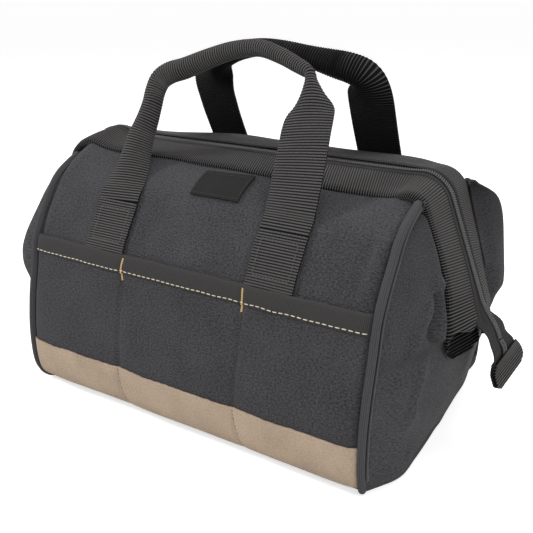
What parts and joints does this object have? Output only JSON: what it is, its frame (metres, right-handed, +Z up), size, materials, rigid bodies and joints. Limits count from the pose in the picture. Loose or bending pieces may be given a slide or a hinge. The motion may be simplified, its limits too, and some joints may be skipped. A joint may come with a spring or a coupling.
{
  "type": "zipped wide-mouth tool bag",
  "caption": "Soft zipped tool bag with a wide framed mouth, outside pockets on both faces, tan lower strips, and two swinging webbing handles with rolled grips.",
  "frame": {"origin": "middle of the flat underside, on the surface the bag stands on", "axes": "+X along the length of the bag and its zip, -Y out of the labelled front face, +Z up"},
  "size_m": [0.4154, 0.2322, 0.2808],
  "materials": {
    "body_fabric": "woven polyester, matt",
    "ribbed_webbing": "ribbed webbing, matt",
    "tan_fabric": "woven polyester, matt",
    "zip_coil": "nylon coil, satin",
    "zip_tape": "woven tape, matt",
    "slider_metal": "black paint, satin",
    "frame_steel": "plain steel wire",
    "base_stiffener": "plain board",
    "grip_cord": "filler cord",
    "piping": "covered cord, matt",
    "label_weave": "plain woven patch"
  },
  "bodies": {
    "bag_body": {"base_fabric": "body_fabric", "base_board": "base_stiffener", "front_lower_panel": "body_fabric", "back_lower_panel": "body_fabric", "front_pocket_panel": "body_fabric", "back_pocket_panel": "body_fabric", "front_pocket_binding": "ribbed_webbing", "back_pocket_binding": "ribbed_webbing", "front_tan_band": "tan_fabric", "back_tan_band": "tan_fabric", "left_lower_gusset": "body_fabric", "right_lower_gusset": "body_fabric", "left_piping": "piping", "right_piping": "piping"},
    "front_jaw": {"front_mouth_band": "ribbed_webbing", "front_frame_wire": "frame_steel", "front_zip_tape": "zip_tape", "front_zip_chain": "zip_coil", "front_upper_panel": "body_fabric", "front_left_upper_gusset": "body_fabric", "front_right_upper_gusset": "body_fabric", "front_left_upper_piping": "piping", "front_right_upper_piping": "piping", "front_left_strap_foot": "ribbed_webbing", "front_right_strap_foot": "ribbed_webbing", "label_patch": "label_weave"},
    "front_handle": {"front_handle_strap": "ribbed_webbing", "front_grip_core": "grip_cord"},
    "back_jaw": {"back_mouth_band": "ribbed_webbing", "back_frame_wire": "frame_steel", "back_zip_tape": "zip_tape", "back_zip_chain": "zip_coil", "back_upper_panel": "body_fabric", "back_left_upper_gusset": "body_fabric", "back_right_upper_gusset": "body_fabric", "back_left_upper_piping": "piping", "back_right_upper_piping": "piping", "back_left_strap_foot": "ribbed_webbing", "back_right_strap_foot": "ribbed_webbing"},
    "back_handle": {"back_handle_strap": "ribbed_webbing", "back_grip_core": "grip_cord"},
    "slider": {"zip_slider": "slider_metal"},
    "pull": {"zip_pull": "slider_metal"},
    "left_tail": {"left_zip_tail": "zip_tape", "left_zip_tab": "ribbed_webbing"},
    "right_tail": {"right_zip_tail": "zip_tape", "right_zip_tab": "ribbed_webbing"}
  },
  "joints": [
    {"name": "front_mouth_hinge", "type": "hinge", "parent": "bag_body", "child": "front_jaw", "pos_m": [0, -0.019, 0.082], "axis": [1, 0, 0], "range_deg": [0, 25], "deforming": ["front_upper_panel", "front_left_upper_gusset", "front_right_upper_gusset", "front_left_upper_piping", "front_right_upper_piping", "front_left_strap_foot", "front_right_strap_foot"]},
    {"name": "back_mouth_hinge", "type": "hinge", "parent": "bag_body", "child": "back_jaw", "pos_m": [0, 0.019, 0.082], "axis": [-1, 0, 0], "range_deg": [0, 25], "deforming": ["back_upper_panel", "back_left_upper_gusset", "back_right_upper_gusset", "back_left_upper_piping", "back_right_upper_piping", "back_left_strap_foot", "back_right_strap_foot"]},
    {"name": "front_handle_swing", "type": "hinge", "parent": "front_jaw", "child": "front_handle", "pos_m": [0, -0.07798, 0.1617], "axis": [1, 0, 0], "range_deg": [0, 130]},
    {"name": "back_handle_swing", "type": "hinge", "parent": "back_jaw", "child": "back_handle", "pos_m": [0, 0.07798, 0.1617], "axis": [-1, 0, 0], "range_deg": [0, 130]},
    {"name": "zip_slide", "type": "slide", "parent": "front_jaw", "child": "slider", "axis": [1, 0, 0], "range_m": [0, 0.236]},
    {"name": "pull_flip", "type": "hinge", "parent": "slider", "child": "pull", "pos_m": [-0.118, 0, 0.1987], "axis": [0, 1, 0], "range_deg": [0, 180]},
    {"name": "left_tail_flex", "type": "hinge", "parent": "bag_body", "child": "left_tail", "pos_m": [-0.19464, 0, 0.08185], "axis": [0, 1, 0], "range_deg": [-10, 45]},
    {"name": "right_tail_flex", "type": "hinge", "parent": "bag_body", "child": "right_tail", "pos_m": [0.19464, 0, 0.08185], "axis": [0, -1, 0], "range_deg": [-10, 45]}
  ]
}
